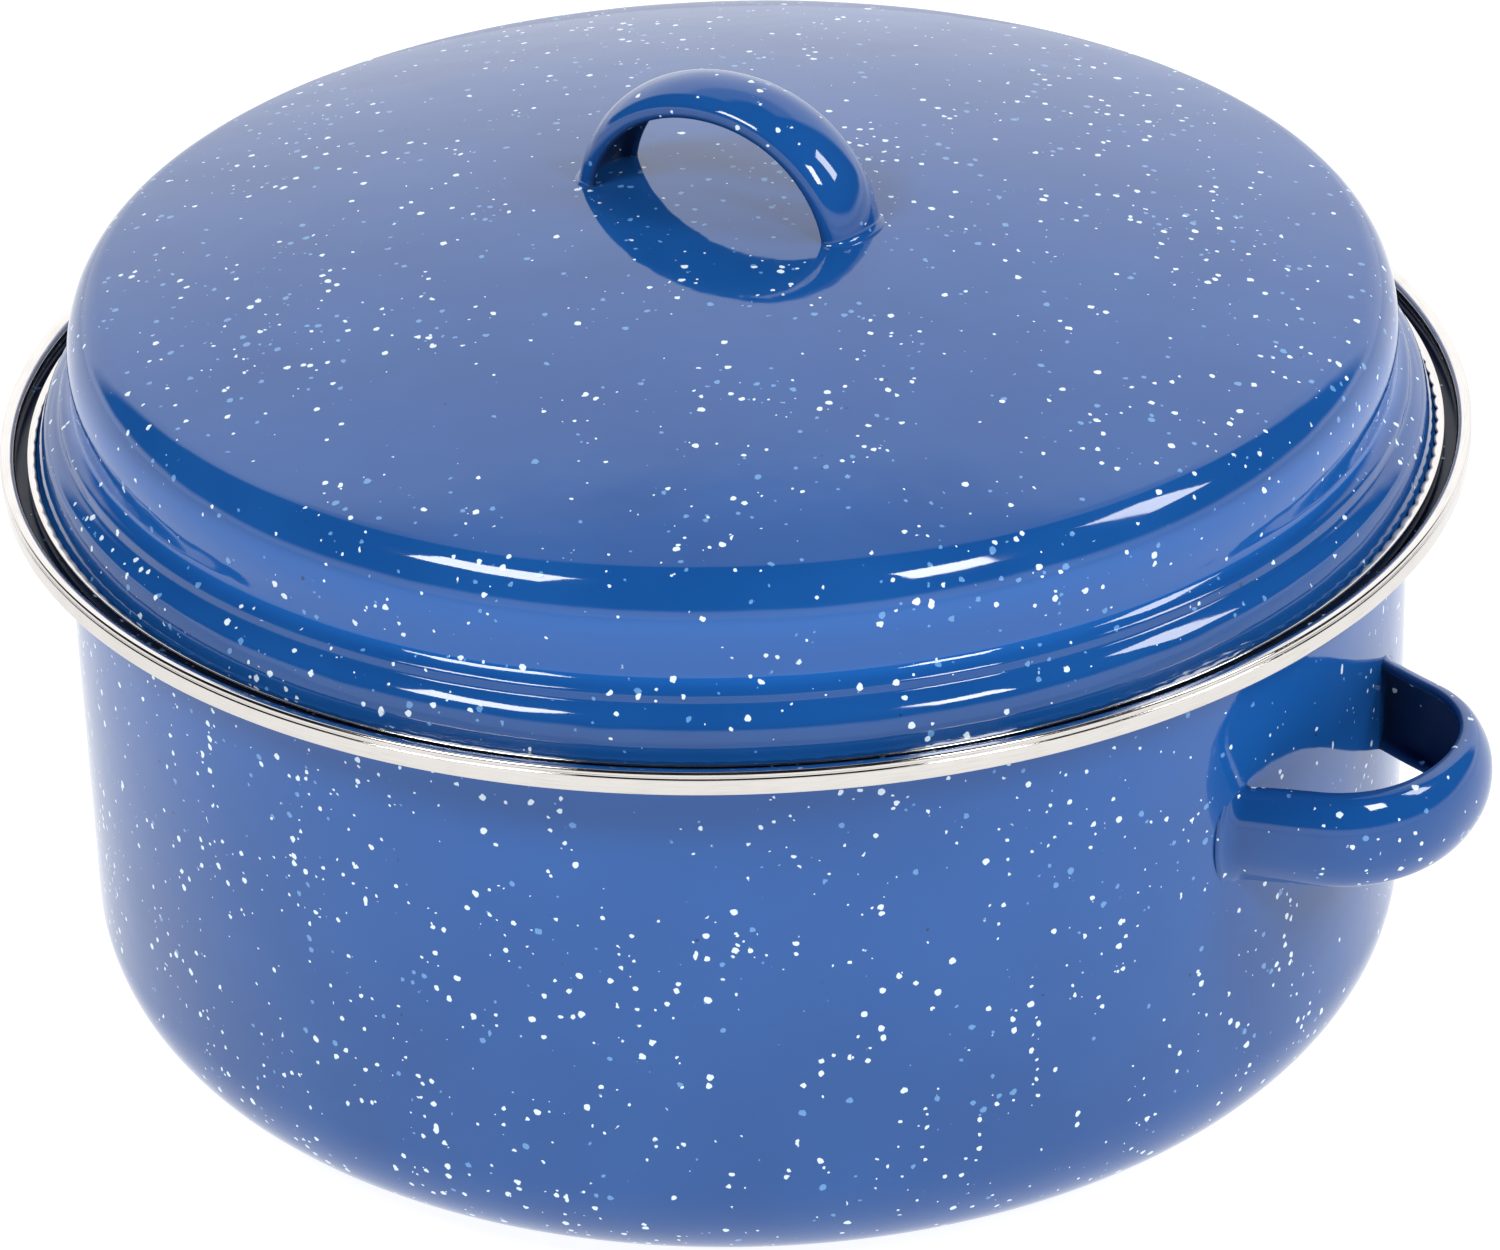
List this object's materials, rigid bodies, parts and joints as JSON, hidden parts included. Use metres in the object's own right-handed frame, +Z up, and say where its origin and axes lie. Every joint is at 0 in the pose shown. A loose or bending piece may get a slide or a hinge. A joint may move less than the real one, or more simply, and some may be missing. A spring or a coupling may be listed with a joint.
{
  "type": "water bath canner",
  "caption": "Covered enamelled steel canning pot with loop side handles, a domed lid with an arch handle, and a lift-out wire jar rack inside.",
  "frame": {"origin": "centre of the pot's flat underside, on the surface that it stands on", "axes": "+Z up; +X through the right side handle and along the lid's handle; +Y towards the back"},
  "size_m": [0.338, 0.3, 0.2015],
  "materials": {
    "enamel": "glossy blue porcelain enamel with small white flecks",
    "stainless_band": "bright rolled stainless band",
    "chromed_wire": "bright chromed steel wire"
  },
  "bodies": {
    "pot": {"pot_body": "enamel", "pot_rim_band": "stainless_band", "side_handle_right": "enamel", "side_handle_left": "enamel"},
    "lid": {"lid_shell": "enamel", "lid_rim_band": "stainless_band", "lid_handle": "enamel"},
    "rack": {"rack_base_ring_outer": "chromed_wire", "rack_base_ring_middle": "chromed_wire", "rack_base_ring_inner": "chromed_wire", "rack_top_ring_outer": "chromed_wire", "rack_top_ring_inner": "chromed_wire", "rack_centre_bar_front": "chromed_wire", "rack_centre_bar_back": "chromed_wire", "rack_divider_1": "chromed_wire", "rack_divider_2": "chromed_wire", "rack_divider_3": "chromed_wire", "rack_divider_4": "chromed_wire", "rack_divider_5": "chromed_wire", "rack_divider_6": "chromed_wire", "rack_eyelet_front_left": "chromed_wire", "rack_eyelet_front_right": "chromed_wire", "rack_eyelet_back_left": "chromed_wire", "rack_eyelet_back_right": "chromed_wire"},
    "rack_bail_front": {"rack_handle_front": "chromed_wire"},
    "rack_bail_back": {"rack_handle_back": "chromed_wire"}
  },
  "joints": [
    {"name": "lid_lift", "type": "slide", "parent": "pot", "child": "lid", "axis": [0, 0, 1], "range_m": [0, 0.32]},
    {"name": "rack_lift", "type": "slide", "parent": "pot", "child": "rack", "axis": [0, 0, 1], "range_m": [0, 0.144]},
    {"name": "rack_bail_front_swing", "type": "hinge", "parent": "rack", "child": "rack_bail_front", "pos_m": [0, -0.12269, 0.0669], "axis": [-1, 0, 0], "range_deg": [0, 96]},
    {"name": "rack_bail_back_swing", "type": "hinge", "parent": "rack", "child": "rack_bail_back", "pos_m": [0, 0.12269, 0.0669], "axis": [1, 0, 0], "range_deg": [0, 96]}
  ],
  "couplings": [
    {"joint": "rack_lift", "follows": "lid_lift", "ratio": 0.45}
  ]
}
